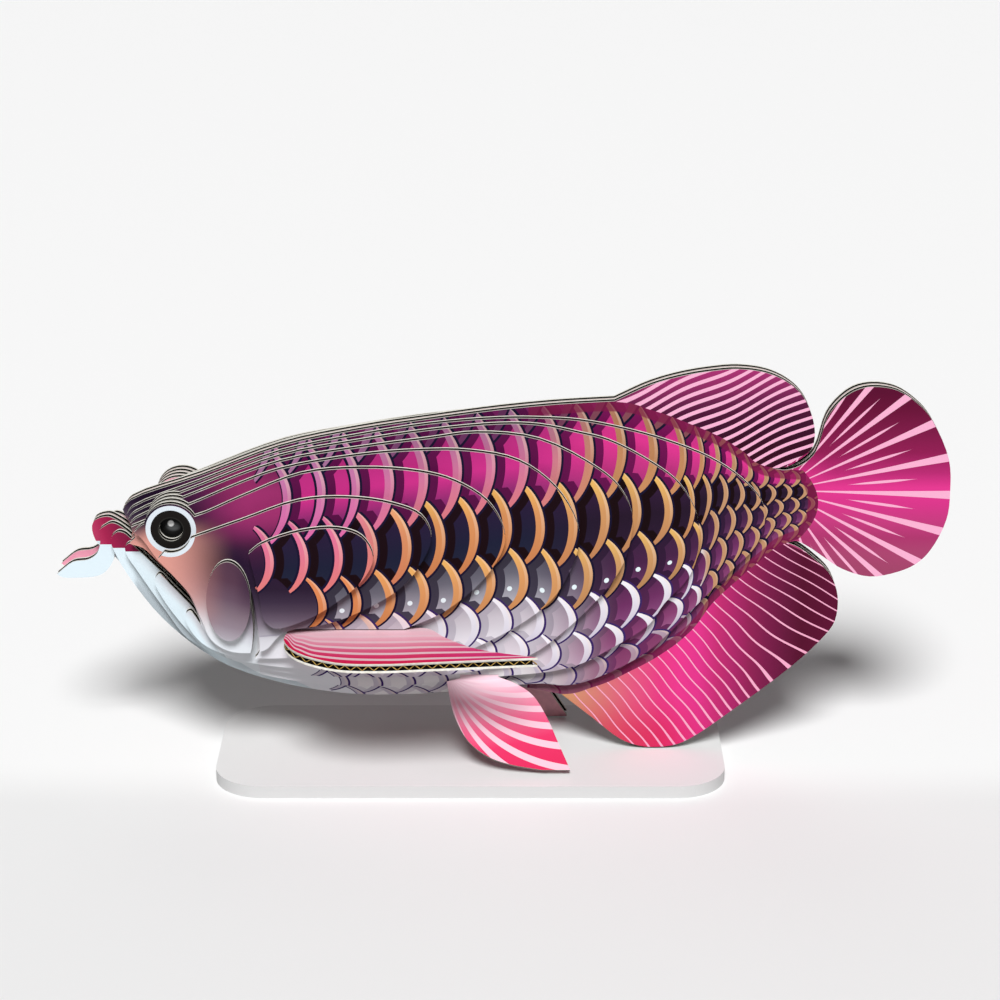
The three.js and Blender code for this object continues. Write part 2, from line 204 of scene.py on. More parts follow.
class Mark:
    """A number from a node's socket, and the sums and colours worked out from it"""

    def __init__(self, tree, socket):
        self.tree = tree
        self.socket = socket

    def worked(self, operation, *others):
        """The result of one sum on this mark and the others"""
        node = self.tree.nodes.new("ShaderNodeMath")
        node.operation = operation
        for place, value in enumerate((self, *others)):
            if isinstance(value, Mark):
                self.tree.links.new(value.socket, node.inputs[place])
            else:
                node.inputs[place].default_value = value
        return Mark(self.tree, node.outputs[0])

    def __add__(self, other):
        return self.worked("ADD", other)

    def __sub__(self, other):
        return self.worked("SUBTRACT", other)

    def __mul__(self, other):
        return self.worked("MULTIPLY", other)

    def __truediv__(self, other):
        return self.worked("DIVIDE", other)

    def times_plus(self, factor, extra):
        return self.worked("MULTIPLY_ADD", factor, extra)

    def below(self, other):
        return self.worked("LESS_THAN", other)

    def above(self, other):
        return self.worked("GREATER_THAN", other)

    def smaller(self, other):
        return self.worked("MINIMUM", other)

    def larger(self, other):
        return self.worked("MAXIMUM", other)

    def whole(self):
        return self.worked("FLOOR")

    def size(self):
        return self.worked("ABSOLUTE")

    def root(self):
        return self.worked("SQRT")

    def slant(self, other):
        """The distance that this mark and the other make, one across and one up"""
        return (self * self + other * other).root()

    def part(self):
        return self.worked("FRACT")

    def fade(self, low, high):
        """Rises smoothly from 0 at low to 1 at high"""
        node = self.tree.nodes.new("ShaderNodeMapRange")
        node.interpolation_type = "SMOOTHSTEP"
        self.tree.links.new(self.socket, node.inputs["Value"])
        node.inputs["From Min"].default_value = low
        node.inputs["From Max"].default_value = high
        return Mark(self.tree, node.outputs["Result"])

    def mix(self, low, high):
        """low where this mark is 0, high where it is 1, for numbers"""
        return self * high + self.times_plus(-1, 1) * low

    def curve(self, points):
        """A drawn curve through (from, to) points"""
        starts = [p[0] for p in points]
        ends = [p[1] for p in points]
        left, right = min(starts), max(starts)
        low, high = min(ends), max(ends)
        scaled = (self - left) / (right - left)
        node = self.tree.nodes.new("ShaderNodeFloatCurve")
        drawn = node.mapping.curves[0]
        while len(drawn.points) < len(points):
            drawn.points.new(0.5, 0.5)
        for place, (start, end) in zip(drawn.points, points):
            place.location = ((start - left) / (right - left), (end - low) / (high - low))
        node.mapping.update()
        self.tree.links.new(scaled.socket, node.inputs["Value"])
        return Mark(self.tree, node.outputs["Value"]) * (high - low) + low

    def ramp(self, low, high, stops):
        """Colours from low to high; stops are (value, colour)"""
        node = self.tree.nodes.new("ShaderNodeValToRGB")
        elements = node.color_ramp.elements
        while len(elements) < len(stops):
            elements.new(1)
        for element, (value, colour) in zip(elements, stops):
            element.position = (value - low) / (high - low)
            element.color = ink(colour)
        self.tree.links.new(((self - low) / (high - low)).socket, node.inputs["Fac"])
        return node.outputs["Color"]

    def over(self, under, top):
        """The colour under where this mark is 0, and top where it is 1"""
        node = self.tree.nodes.new("ShaderNodeMix")
        node.data_type = "RGBA"
        self.tree.links.new(self.socket, node.inputs[0])
        for place, colour in ((6, under), (7, top)):
            if isinstance(colour, str):
                node.inputs[place].default_value = ink(colour)
            else:
                self.tree.links.new(colour, node.inputs[place])
        return node.outputs[2]


def print_group(name, inputs, outputs):
    """An empty shader group with number inputs and the given (name, kind) outputs"""
    group = bpy.data.node_groups.new(name, "ShaderNodeTree")
    for label in inputs:
        group.interface.new_socket(label, in_out="INPUT", socket_type="NodeSocketFloat")
    for label, kind in outputs:
        group.interface.new_socket(label, in_out="OUTPUT", socket_type="NodeSocket" + kind)
    entry = group.nodes.new("NodeGroupInput")
    group.nodes.new("NodeGroupOutput")
    return group, [Mark(group, entry.outputs[label]) for label in inputs]


def group_result(group, label, result):
    """Joins a mark or a colour to one of the group's outputs"""
    exit_node = next(node for node in group.nodes if node.type == "GROUP_OUTPUT")
    socket = result.socket if isinstance(result, Mark) else result
    group.links.new(socket, exit_node.inputs[label])


def placed(tree, group, **inputs):
    """The group in another tree, with its inputs joined or set; returns its output sockets"""
    node = tree.nodes.new("ShaderNodeGroup")
    node.node_tree = group
    for label, value in inputs.items():
        if isinstance(value, Mark):
            tree.links.new(value.socket, node.inputs[label])
        else:
            node.inputs[label].default_value = value
    return node.outputs


# Overlapping scales. They lie in rows along the flank, each row half a scale on from the one
# above, and every scale's free rim points to the tail and covers the next. Lengths along are in
# scales and lengths down are in rows.

SCALE_REACH = 1.53
SCALE_SPREAD = 0.88
SPREAD_ABOVE = -0.66
SPREAD_BELOW = 0.8
FAR_AWAY = 1000.0

lapping, (along, down) = print_group(
    "overlapping_scales",
    ["Along", "Down"],
    [(label, "Float") for label in ("Row", "Below", "Centre", "Inside", "Beyond")],
)


def rim_distance(along, centre, below):
    """How far a place is inside a scale's rim, in scales; less than 0 is outside it"""
    across = (along - centre) / SCALE_REACH
    spread = below / SCALE_SPREAD
    return across.slant(spread) * -SCALE_REACH + SCALE_REACH


# Two rows may cover a place, and in each the scale nearest the head that reaches it lies on top
choices = []
for offset in (0, 1):
    row = down.whole() + offset
    below = down - row
    half = (row / 2).part()
    spread = below / SCALE_SPREAD
    reach = (spread * spread * -1 + 1).larger(0).root() * SCALE_REACH
    centre = (along - reach - half).whole() + 1 + half
    in_row = below.below(SPREAD_BELOW) if offset == 0 else below.above(SPREAD_ABOVE)
    choices.append((row, below, centre, in_row, centre + (in_row * -1 + 1) * FAR_AWAY))

upper, lower = choices
lower_wins = lower[4].below(upper[4])
chosen = [lower_wins.mix(upper[i], lower[i]) for i in range(3)]
beyond = rim_distance(along, chosen[2] - 1, chosen[1]) * -1
for row, below, centre, in_row, _ in choices:
    hidden = (in_row * (centre - 1).below(chosen[2]) * -1 + 1) * FAR_AWAY
    beyond = beyond.smaller(rim_distance(along, centre - 1, below) * -1 + hidden)
group_result(lapping, "Row", chosen[0])
group_result(lapping, "Below", chosen[1])
group_result(lapping, "Centre", chosen[2])
group_result(lapping, "Inside", rim_distance(along, chosen[2], chosen[1]))
group_result(lapping, "Beyond", beyond)


# The printed flank: magenta scales on the back, nearly black ones along the middle, grey to white
# below, with pink, gold or white rims inked round in navy. The rows follow the back and belly, and
# the scales grow small and close towards the root of the tail. Millimetres from here on.

LIFT = 2.3
BACK_LINE = [(-60, 40.2), (-47, 45.5), (-34.2, 50.4), (-22, 53), (-11, 54.7), (0, 56.2), (8.8, 57.1),
             (17.4, 57.5), (22.8, 56.2), (28.5, 54.1), (33.4, 51.9), (37, 49.6), (41.1, 47), (45.9, 46.5),
             (50, 46.5)]
BELLY_LINE = [(-60, 28), (-47, 16.4), (-38, 12), (-24, 9.3), (-9, 9.5), (2.3, 10.8), (9.5, 9.4),
              (14.1, 10.5), (20.9, 13.7), (24.9, 16.1), (29.5, 20), (33, 24.9), (35.9, 27.9),
              (40.4, 32.1), (43.6, 34.6), (48, 35.8), (50, 35.8)]
ROW_LEVELS = [(0, 0.35), (0.15, 1), (0.375, 2), (0.565, 3), (0.715, 4), (0.835, 5), (0.93, 6), (1, 7)]
SCALE_LENGTH = 5.15
FIRST_RIM = 3.6
FIRST_RIMS = [(0, -36.5), (1, -37), (2, -35.5), (3, -29.5), (4, -26), (5, -28), (6, -25), (7, -25)]
TAIL_PACKING = [(-60, 0), (24, 0), (27, 0.06), (30, 0.42), (34, 1.15), (40, 2.35), (50, 4.5)]
TAIL_ROWS = 5.2
FIRST_TAIL_ROW = 0.35
RIM_INK = 0.36
RIM_WIDTH = 1.4
RIM_TAPER = 2.0
SHADOW_WIDTH = 1.2

FLANK_MIDDLE = [(0.1, "#3a1038"), (0.5, "#641c50"), (0.95, "#7a2260"), (1.02, "#7c2a66"), (1.3, "#b82c7c"),
                (1.52, "#cc3088"), (1.72, "#8e2a6e"), (1.96, "#4d2350"), (2.04, "#3a1c48"), (2.3, "#261a38"),
                (2.6, "#1b1e36"), (2.96, "#24283c"), (3.04, "#30303f"), (3.4, "#6a6975"), (3.7, "#a5a4ae"),
                (3.96, "#cfced6"), (4.04, "#9a94a0"), (4.4, "#cdc5ce"), (4.96, "#ece8ef"), (5.04, "#b8adb8"),
                (5.5, "#d9d0d9"), (5.96, "#eeeaf0"), (6.04, "#c5c0c4"), (6.5, "#dcd9db"), (7.0, "#e4e2e3")]
FLANK_REAR = [(0.1, "#5a1748"), (0.5, "#8a2668"), (0.95, "#a02f78"), (1.04, "#a83079"), (1.4, "#e0368f"),
              (1.7, "#b8337c"), (1.96, "#5c2355"), (2.04, "#381d40"), (2.5, "#241428"), (2.96, "#2c1a34"),
              (3.04, "#35203c"), (3.5, "#472246"), (3.96, "#6a3a64"), (4.04, "#4a2346"), (4.5, "#6d2f60"),
              (4.96, "#8d4f80"), (5.04, "#5e2852"), (5.5, "#86406f"), (5.96, "#a0648f"), (6.1, "#7a3560"),
              (7.0, "#8f4a72")]
RIM_FRONT = [(0.5, "#96688c"), (1.1, "#b87aa8"), (1.9, "#e06aa8"), (2.05, "#e270a4"), (2.9, "#e07c74"),
             (3.1, "#e58e5c"), (3.9, "#c87e48"), (4.1, "#dca070"), (5.0, "#c9c2cc"), (6.5, "#bdb6c2")]
RIM_MIDDLE = [(0.5, "#4f2549"), (0.9, "#6c3460"), (1.1, "#96698f"), (1.5, "#d0749c"), (1.9, "#d8787f"),
              (2.05, "#f0ba62"), (2.35, "#d8925c"), (2.9, "#c67c4e"), (3.05, "#f0bc68"), (3.4, "#dc9c62"),
              (3.9, "#c98a58"), (4.1, "#f4f1f8"), (4.9, "#cdc6d6"), (5.1, "#f4f1f8"), (5.9, "#c9c2d2"),
              (6.5, "#b9b2c0")]
RIM_REAR = [(0.5, "#6a3150"), (0.9, "#8a5058"), (1.1, "#a9765c"), (1.5, "#bf875c"), (1.9, "#c88c5e"),
            (2.05, "#f2c268"), (2.4, "#cf9862"), (2.9, "#b98058"), (3.05, "#edbd68"), (3.4, "#cb9864"),
            (3.9, "#b08056"), (4.1, "#f6f4fa"), (4.9, "#c8bfd0"), (5.1, "#f6f4fa"), (5.9, "#b8a8bc"),
            (6.5, "#a88c9c")]
RIM_TAIL = "#c0916c"
RIM_SHEEN = 0.32
FRONT_LINED = -22
SHADOW_MIDDLE = [(0.5, "#4a1040"), (1.1, "#5e0d48"), (1.95, "#520c40"), (2.05, "#1a0610"), (2.95, "#150308"),
                 (3.05, "#2e2a36"), (3.9, "#464252"), (4.05, "#aaa2ae"), (5.0, "#c4bdc8"), (6.5, "#cfcad1")]
SHADOW_REAR = [(0.5, "#6a1450"), (1.1, "#7a0f55"), (1.95, "#5c0e48"), (2.05, "#170409"), (2.95, "#150408"),
               (3.05, "#2a1630"), (3.9, "#36193a"), (4.05, "#411d42"), (5.0, "#5a2850"), (6.5, "#6a2c5a")]
DOT_ROW = 3
DOT_SIZE = 0.4
DOT_FROM_RIM = 3.3
DOT_LEVEL = 0.16
DOT_ROW_HEIGHT = 7.6
LAST_DOT = 28
TAIL_TIP = 48.9
TAIL_MIDDLE = 41
TAIL_ROUND = 0.085
FIN_LINE = 0.3

scales, (x, z) = print_group(
    "flank_scales", ["X", "Z"], [("Color", "Color"), ("Head", "Float"), ("Depth", "Float")]
)
back_z = x.curve(BACK_LINE)
belly_z = x.curve(BELLY_LINE)
depth = (back_z - z) / (back_z - belly_z)
along = (x - FIRST_RIM) / SCALE_LENGTH + x.curve(TAIL_PACKING) + SCALE_REACH + 0.5
rows = x.fade(26, 38).mix(depth.curve(ROW_LEVELS), depth * TAIL_ROWS + FIRST_TAIL_ROW)
body = placed(scales, lapping, Along=along, Down=rows)
row, below, centre, inside, beyond = [Mark(scales, socket) for socket in body]

tone = below * 0.6 + row + 0.5
to_front = x.fade(-12, -26)
to_rear = x.fade(1, 19)
to_tail = x.fade(30.2, 32.2)
skin = to_rear.over(tone.ramp(0, 7, FLANK_MIDDLE), tone.ramp(0, 7, FLANK_REAR))
rim = to_front.over(tone.ramp(0, 7, RIM_MIDDLE), tone.ramp(0, 7, RIM_FRONT))
rim = to_rear.over(rim, tone.ramp(0, 7, RIM_REAR))
rim = to_tail.over(rim, RIM_TAIL)
shadow = to_rear.over(tone.ramp(0, 7, SHADOW_MIDDLE), tone.ramp(0, 7, SHADOW_REAR))
pale_row = row.above(3.5) * (to_tail * -1 + 1)
ink_width = (to_tail * 0.8 + 1) * RIM_INK / SCALE_LENGTH
rim_width = (below * below * -RIM_TAPER + RIM_WIDTH) * (pale_row * -0.15 + 1) / SCALE_LENGTH + ink_width
line = pale_row.over("#14102e", "#3a2562")

outer_rim = inside.below(rim_width * 0.5) * below.fade(0.4, -0.4) * row.above(0.5)
large = beyond.below(SHADOW_WIDTH / SCALE_LENGTH).over(skin, shadow)
dot_along = (along - centre - SCALE_REACH) * SCALE_LENGTH + DOT_FROM_RIM
dot_down = (below - DOT_LEVEL) * DOT_ROW_HEIGHT
dot = dot_along.slant(dot_down).below(DOT_SIZE)
dot = dot * (row - DOT_ROW).size().below(0.5) * x.below(LAST_DOT)
large = dot.over(large, "#e6f4f8")
rim = (outer_rim * RIM_SHEEN).over(rim, "#f8dfc8")
rim_x = (centre - 0.5) * SCALE_LENGTH + FIRST_RIM
first_x = row.curve(FIRST_RIMS)
no_scale = rim_x.below(first_x)
rim_only = rim_x.below(first_x + SCALE_LENGTH)
on_rim = inside.below(rim_width)
large = on_rim.over(large, rim)
front_line = (inside - rim_width).size().below(RIM_INK / 2 / SCALE_LENGTH) * rim_x.below(FRONT_LINED)
large = inside.below(ink_width).larger(front_line).over(large, line)
head = no_scale.larger(rim_only * (on_rim * -1 + 1))
group_result(scales, "Color", large)
group_result(scales, "Head", head)
group_result(scales, "Depth", depth)


# The head is printed smooth: dark plum over the brow, magenta behind the eye, salmon on the cheek
# by the mouth, and pale blue-white under the jaw. The eye is a dark disc in a pale ring, and the
# lips are crimson.

EYE = (-50.5, 39.6)
EYE_RING = 3.85
EYE_DISC = 3.1
EYE_BALL = 2.0
LIP_END = -55.5
LIP_FOOT = 34.9
JAW_LINE = [(-70, 50), (-60, 38.6), (-57.4, 36.7), (-53.6, 32.8), (-49.7, 28.7), (-47.8, 26.6),
            (-46.5, 24.2), (-45.6, 22.6), (-44, 20), (-42, 16.8), (-38, 14), (-30.8, 11.2), (-27, 8.5),
            (-20, 6)]
JAW_END = -24
GILL_EDGE = -38
HEAD_STOPS = [(17, "#e6ebf1"), (20, "#e0e4ea"), (21.5, "#d0d1d9"), (23, "#ada8b2"), (24.5, "#857b88"),
              (26, "#67596a"), (27.5, "#4e4052"), (29, "#3b2d42"), (31, "#2a1b31"), (34, "#2b1733"),
              (37, "#401b3b"), (40, "#4d1c46"), (43, "#461638"), (47, "#371132"), (51, "#280b2c")]

faces, (x, z) = print_group("head_print", ["X", "Z"], [("Color", "Color")])
lean_z = z + (x - GILL_EDGE).smaller(0) * 0.6
plain = lean_z.ramp(12, 54, HEAD_STOPS)
glow = x.fade(-40.2, -52.5) * (z + (x + 52).smaller(0) * -0.4).fade(42, 38) * lean_z.fade(17.5, 24.5)
plain = glow.over(plain, "#de9c90")
magenta = x.fade(-48, -38) * z.fade(36.5, 43) * z.fade(52, 45)
plain = magenta.over(plain, "#9d2f6b")
brow = x.fade(-48.5, -54) * z.fade(39.5, 42.5)
plain = (brow * 0.85).over(plain, "#1c0a24")
# Behind the gill a pale panel runs along the breast, with a faint seam above it
panel = (x + 37.5).larger(0) * 0.09 + 22.6
seam = (z - panel).size().fade(0.45, 0.1) * x.fade(-38.4, -36.6)
plain = (seam * 0.6).over(plain, "#9a93a2")
plain = (z.below(panel) * x.above(GILL_EDGE) * 0.6).over(plain, "#dcdae0")
group_result(faces, "Color", plain)

features, (x, z) = print_group("face_features", ["X", "Z"], [("Color", "Color"), ("Jaw", "Float")])
under = x.curve(JAW_LINE) - z
jaw = under.above(0) * x.below(JAW_END)
lip = x.below(LIP_END) * z.above(LIP_FOOT)
# The pale blue jaw print is painted greyer near the mouth slit and towards its outer edge: painted shade of
# the nested sheets over it
jaw_print_and_painted_shade = under.ramp(0, 12, [(0.3, "#ccd6dd"), (1.4, "#dae4eb"), (2.6, "#e0eff7"), (5.2, "#dcebf3"),
                               (7.0, "#b9c4cb"), (9.0, "#a7b2b8"), (12, "#c9d3d9")])
jaw_blush = under.fade(2.4, 0.4) * x.fade(-54, -50.5) * x.fade(-44.5, -46.5)
jaw_print_and_painted_shade = (jaw_blush * 0.4).over(jaw_print_and_painted_shade, "#b9a7ab")
jaw_print_and_painted_shade = x.fade(-56.4, -57.4).over(jaw_print_and_painted_shade, "#e2f1f9")
lip_shade = (x + z * 0.3).ramp(-53, -45, [(-53, "#c23f68"), (-50.5, "#a82450"), (-48, "#8c1d45"),
                                          (-45, "#76163c")])
group_result(features, "Color", lip.over(jaw_print_and_painted_shade, lip_shade))
group_result(features, "Jaw", jaw)

eyes, (x, z) = print_group("eye_print", ["X", "Z"], [("Color", "Color"), ("Eye", "Float")])
from_x = x - EYE[0]
from_z = z - EYE[1]
radius = from_x.slant(from_z)
glint_x = from_x + 0.15
glint_z = from_z - 0.45
glint = glint_x.slant(glint_z).fade(0.6, 0.35)
sheen_x = (from_x - 0.2) * 0.8
sheen_z = from_z * 1.2
sheen = sheen_x.slant(sheen_z).fade(1.1, 0.5)
ball = radius.ramp(0, EYE_BALL, [(0.0, "#2b2c2c"), (1.1, "#161514"), (1.6, "#0b0a0a"), (2.0, "#2a2926")])
ball = (sheen * 0.3).over(ball, "#8a8c8e")
ball = glint.over(ball, "#ffffff")
ring = radius.above(EYE_DISC).over("#191614", "#dfe8f0")
group_result(eyes, "Color", radius.above(EYE_BALL).over(ball, ring))
group_result(eyes, "Eye", radius.below(EYE_RING))


# The three fins of the middle sheets are printed in one: pale slanting bars over maroon on the
# dorsal fin, a fan of rays on the tail, and fine rays that run back and down on the anal fin,
# whose ground goes from orange through hot pink to maroon.

DORSAL_FOOT = 44
BAR_PITCH = 1.36
TAIL_FAN = (43.2, 43.2)
TAIL_TURN = 0.235
ANAL_PITCH = 1.42
ANAL_SLOPE = 0.748
ANAL_LEVEL = 2.3
SHORT_RAY = [(3, -0.02), (10, 0), (14.5, 0.06), (16.5, 0.055), (21, 0), (27, -0.02)]

fins, (x, z) = print_group("upright_fins", ["X", "Z"], [("Color", "Color")])
bar = (z * 0.9 - x * 0.44 + (x * 0.42 - 0.6).worked("SINE") * 0.3) / BAR_PITCH
bar_width = x.curve([(15, 0.55), (25, 0.45), (40, 0.38), (49, 0.34)])
dorsal = (z - x * 0.03).ramp(48, 63, [(49, "#36081f"), (52.2, "#3b0f2b"), (54.6, "#4b1334"),
                                      (56.4, "#641f47"), (58.8, "#8c2b60"), (61.4, "#a83171")])
dorsal = bar.part().below(bar_width).over(dorsal, "#f8b4d4")

tail_x = x - TAIL_FAN[0]
tail_z = z - TAIL_FAN[1]
turn = tail_z.worked("ARCTAN2", tail_x)
reach = tail_x.slant(tail_z)
tail_ground = z.ramp(28, 60, [(30, "#a04468"), (33, "#a9436e"), (35.4, "#ac366c"), (38, "#c23a7c"),
                              (41, "#d63588"), (43.6, "#e2388f"), (46, "#b82a72"), (49.3, "#901c52"),
                              (52.6, "#7c1846"), (56, "#680f37"), (59, "#5a0c30")])
tail_ground = (reach.fade(9, 2) * turn.size().fade(1.2, 0.4)).over(tail_ground, "#dc3688")
ray = turn / TAIL_TURN + 0.62
ray_gap = (ray.part() - 0.5).size()
long_ray = ray_gap.below(reach.curve([(2, 0.04), (5, 0.075), (12, 0.085), (19, 0.095), (26, 0.11)]))
between = ((ray + 0.5).part() - 0.5).size()
short_ray = between.below(reach.curve(SHORT_RAY))
tail_fin = long_ray.larger(short_ray).over(tail_ground, "#f7b1d1")

# The anal rays start on a slanting line along the fin's root, and lean back more towards the rear
first_start = (z * 0.8 + x - 1.84) / 1.6
lean = first_start.fade(28, 44) * 0.85 + 0.8
start = (x + lean * (z - ANAL_LEVEL)) / (lean * ANAL_SLOPE + 1)
travel = (start * ANAL_SLOPE + ANAL_LEVEL - z).larger(0)
anal = x.ramp(8, 52, [(9, "#d4a06c"), (13, "#d68b74"), (16.5, "#d97478"), (20.5, "#e0587e"), (25, "#e43a82"),
                      (28, "#e8388c"), (31, "#df3489"), (34, "#c12c70"), (36.5, "#a92666"), (39, "#8e2153"),
                      (41.5, "#781b48"), (44.5, "#63163a"), (47, "#540e2c"), (51, "#590f30")])
anal = (z.fade(10, 1) * x.fade(36, 24) * 0.7).over(anal, "#d4264c")
anal_gap = (((start + travel.worked("SINE") * 0.08) / ANAL_PITCH).part() - 0.5).size()
anal_ray = travel.curve([(0, 0.05), (6, 0.055), (11, 0.07), (14, 0.1), (16, 0.09)])
anal = anal_gap.below(anal_ray).over(anal, "#f5abc9")

# Two lines through the gaps between the fins part the tail from the dorsal and the anal fin
is_tail = x.above((z * -1 + 50.4).larger(0) * -1.5 + 48.6) * z.above(x * -0.5 + 56.6)
upright = z.above(DORSAL_FOOT).over(anal, dorsal)
group_result(fins, "Color", is_tail.over(upright, tail_fin))


# Every printed side is one material: it sets the pattern by the object's own length and height,
# then the varnish over it. The middle sheets add the fins, with the soft crimson line where the
# scales end.

VARNISH = 0.42
SATIN = 0.06
GRAIN = 2600
RELIEF = 0.02 * MM
RELIEF_STRENGTH = 0.25
ANAL_ROOT = 9.4
TAIL_ROOT = 40
BAND_START = 4
BAND_WIDTH = 1.4
BAND_BLUR = 0.3


def object_place(tree):
    """The place on the object in metres, as a mark each for its length, width and height"""
    coordinates = tree.nodes.new("ShaderNodeTexCoord")
    split = tree.nodes.new("ShaderNodeSeparateXYZ")
    tree.links.new(coordinates.outputs["Object"], split.inputs[0])
    return [Mark(tree, split.outputs[axis]) for axis in "XYZ"]


def mottle(tree, scale, detail):
    """An uneven tone from 0 to 1 over the object"""
    coordinates = tree.nodes.new("ShaderNodeTexCoord")
    noise = tree.nodes.new("ShaderNodeTexNoise")
    noise.inputs["Detail"].default_value = detail
    if isinstance(scale, Mark):
        tree.links.new(scale.socket, noise.inputs["Scale"])
    else:
        noise.inputs["Scale"].default_value = scale
    tree.links.new(coordinates.outputs["Object"], noise.inputs["Vector"])
    return Mark(tree, noise.outputs["Fac"])


paper_grain, (grain_size, washboard) = print_group(
    "paper_grain", ["Grain", "Washboard"], [("Height", "Float")]
)
x, y, z = object_place(paper_grain)
wave = (x * (math.pi / FLUTE_RUN)).worked("SINE")
group_result(paper_grain, "Height", mottle(paper_grain, grain_size, 3) + wave * washboard)


def varnished(material, colour, roughness, washboard):
    """Joins a colour to the shader, with paper grain and the flutes' faint washboard as relief"""
    tree = material.node_tree
    shader = tree.nodes["Principled BSDF"]
    shader.inputs["Roughness"].default_value = roughness
    shader.inputs["Specular IOR Level"].default_value = SATIN
    tree.links.new(colour, shader.inputs["Base Color"])
    relief = placed(tree, paper_grain, Grain=GRAIN, Washboard=washboard)
    bump = tree.nodes.new("ShaderNodeBump")
    bump.inputs["Strength"].default_value = RELIEF_STRENGTH
    bump.inputs["Distance"].default_value = RELIEF
    tree.links.new(relief["Height"], bump.inputs["Height"])
    tree.links.new(bump.outputs["Normal"], shader.inputs["Normal"])


def new_material(name):
    material = bpy.data.materials.new(name)
    material.use_nodes = True
    return material


def flank_place(tree):
    """The object's length and height in millimetres, the height from the lowest fin"""
    x, y, z = object_place(tree)
    return x * 1000, z.times_plus(1000, -LIFT)


def printed_side(name, with_fins, with_eye):
    """The print of a body sheet: scales and head, and the fins or the eye where it has them"""
    material = new_material(name)
    tree = material.node_tree
    x, z = flank_place(tree)
    body = placed(tree, scales, X=x, Z=z)
    head = placed(tree, faces, X=x, Z=z)
    face = placed(tree, features, X=x, Z=z)
    colour = Mark(tree, body["Head"]).over(body["Color"], head["Color"])
    colour = Mark(tree, face["Jaw"]).over(colour, face["Color"])
    if with_eye:
        eye = placed(tree, eyes, X=x, Z=z)
        colour = Mark(tree, eye["Eye"]).over(colour, eye["Color"])
    if with_fins:
        depth = Mark(tree, body["Depth"])
        fin = placed(tree, fins, X=x, Z=z)
        off_middle = z - TAIL_MIDDLE
        to_tip = (off_middle * off_middle * -TAIL_ROUND + TAIL_TIP - x).larger(x * -1 + TAIL_ROOT)
        to_belly = z - x.curve(BELLY_LINE) + FIN_LINE
        outside = depth.below(0).larger(to_belly.below(0)).larger(to_tip.below(0)) * x.above(ANAL_ROOT)
        inner = to_belly.smaller(x.curve(BACK_LINE) - z).smaller(to_tip)
        edge = inner.fade(BAND_WIDTH + BAND_BLUR, BAND_WIDTH) * x.above(BAND_START)
        colour = (edge * 0.8).over(colour, "#7c1845")
        colour = outside.over(colour, fin["Color"])
    varnished(material, colour, VARNISH, 0.35)
    return material


middle_print = printed_side("middle_sheet_print", True, False)
side_print = printed_side("side_sheet_print", False, False)
eye_side_print = printed_side("eye_sheet_print", False, True)


# The unprinted parts of the board: the white liner where it is cut, the hollow of the core in a
# near-black paper as painted shade, the kraft medium and a near-black copy of it as painted shade,
# and the backs of the sheets, which are only seen at the barbels and the fins.
# All have fibres that show as an uneven tone.


def paper(name, colour, darker, roughness, fibre_scale):
    material = new_material(name)
    fibres = mottle(material.node_tree, fibre_scale, 4)
    varnished(material, fibres.fade(0.3, 0.7).over(darker, colour), roughness, 0)
    return material


liner_edge = paper("cut_liner_edge", "#f4f2ea", "#e2ded2", 0.85, 1800)
# The hollow core's near-black paper is painted shade
core_painted_shade = paper("core_painted_shade", "#15120d", "#0a0806", 0.9, 900)
kraft_medium = paper("kraft_medium", "#dcb768", "#b8924a", 0.85, 1500)
# A near-black copy of the kraft medium: painted shade of the flutes deep in the body sheets' cut edges
medium_painted_shade = paper("medium_painted_shade", "#40331f", "#2c2317", 0.9, 1500)
pink_back = paper("pink_back", "#f4a9bd", "#ec9db4", 0.5, 700)


# The body is sixteen of these sheets side by side, eight on each side of the middle, each glued on
# with its printed face outward. The round of the eye is on three of them, and the fins on the
# middle two.

SIDES = {"left": Vector((0, -1, 0)), "right": Vector((0, 1, 0))}
SHEETS = 8
EYE_SHEETS = (4, 5, 6)

for side, outward in SIDES.items():
    for k in range(SHEETS):
        node = f"sheet_{k}_{side}"
        face = middle_print if k == 0 else eye_side_print if k in EYE_SHEETS else side_print
        papers = [face, pink_back, liner_edge, core_painted_shade]
        cut_card(f"card_{k}_{side}", node, outward, papers)
        flutes = flute_wave(f"flutes_{k}_{side}", node, outward, UP, medium_painted_shade, DEEP)


# The gill cover is an oval of the same board glued on outside the cheek, printed mauve at the top
# and fading through lilac grey to white at the bottom.

COVER_STOPS = [(20, "#d6d9e0"), (21.8, "#bfbcc5"), (23.3, "#a9a0aa"), (25, "#92838f"), (27, "#82707c"),
               (29.5, "#685162"), (32.5, "#573a4c"), (37, "#523548")]

cover_print = new_material("gill_cover_print")
x, z = flank_place(cover_print.node_tree)
cover_tone = (z + (x + 41.8) * 0.3).ramp(20, 38, COVER_STOPS)
cover_tone = (x.fade(-41.4, -38.2) * z.fade(25.5, 31.5) * 0.75).over(cover_tone, "#38243c")
cover_warm = x.fade(-41.5, -46.5) * z.fade(23, 28) * 0.35
varnished(cover_print, cover_warm.over(cover_tone, "#c98a80"), VARNISH, 0.35)

for side, outward in SIDES.items():
    node = f"gill_cover_{side}"
    papers = [cover_print, pink_back, liner_edge, core_painted_shade]
    cut_card(f"cover_{side}", node, outward, papers)
    flutes = flute_wave(f"flutes_cover_{side}", node, outward, UP, medium_painted_shade, DEEP)


# The pectoral fins lie level in slots through the sheets. Their top is printed with long pale
# streaks that follow the outer edge, over a ground from pale pink at the body to crimson there.

PECTORAL_EDGE = [(-35, 12), (-33.4, 13.4), (-31, 18.6), (-25, 22.6), (-18.5, 23.2), (-10.4, 22.4),
                 (5.4, 20.6)]
PECTORAL_STOPS = [(0.0, "#e0184f"), (2.6, "#e22f68"), (5.2, "#e66089"), (8, "#f29bb4"), (11, "#f9c3d2"),
                  (16, "#ffdde5")]
STREAK_PITCH = 2.3

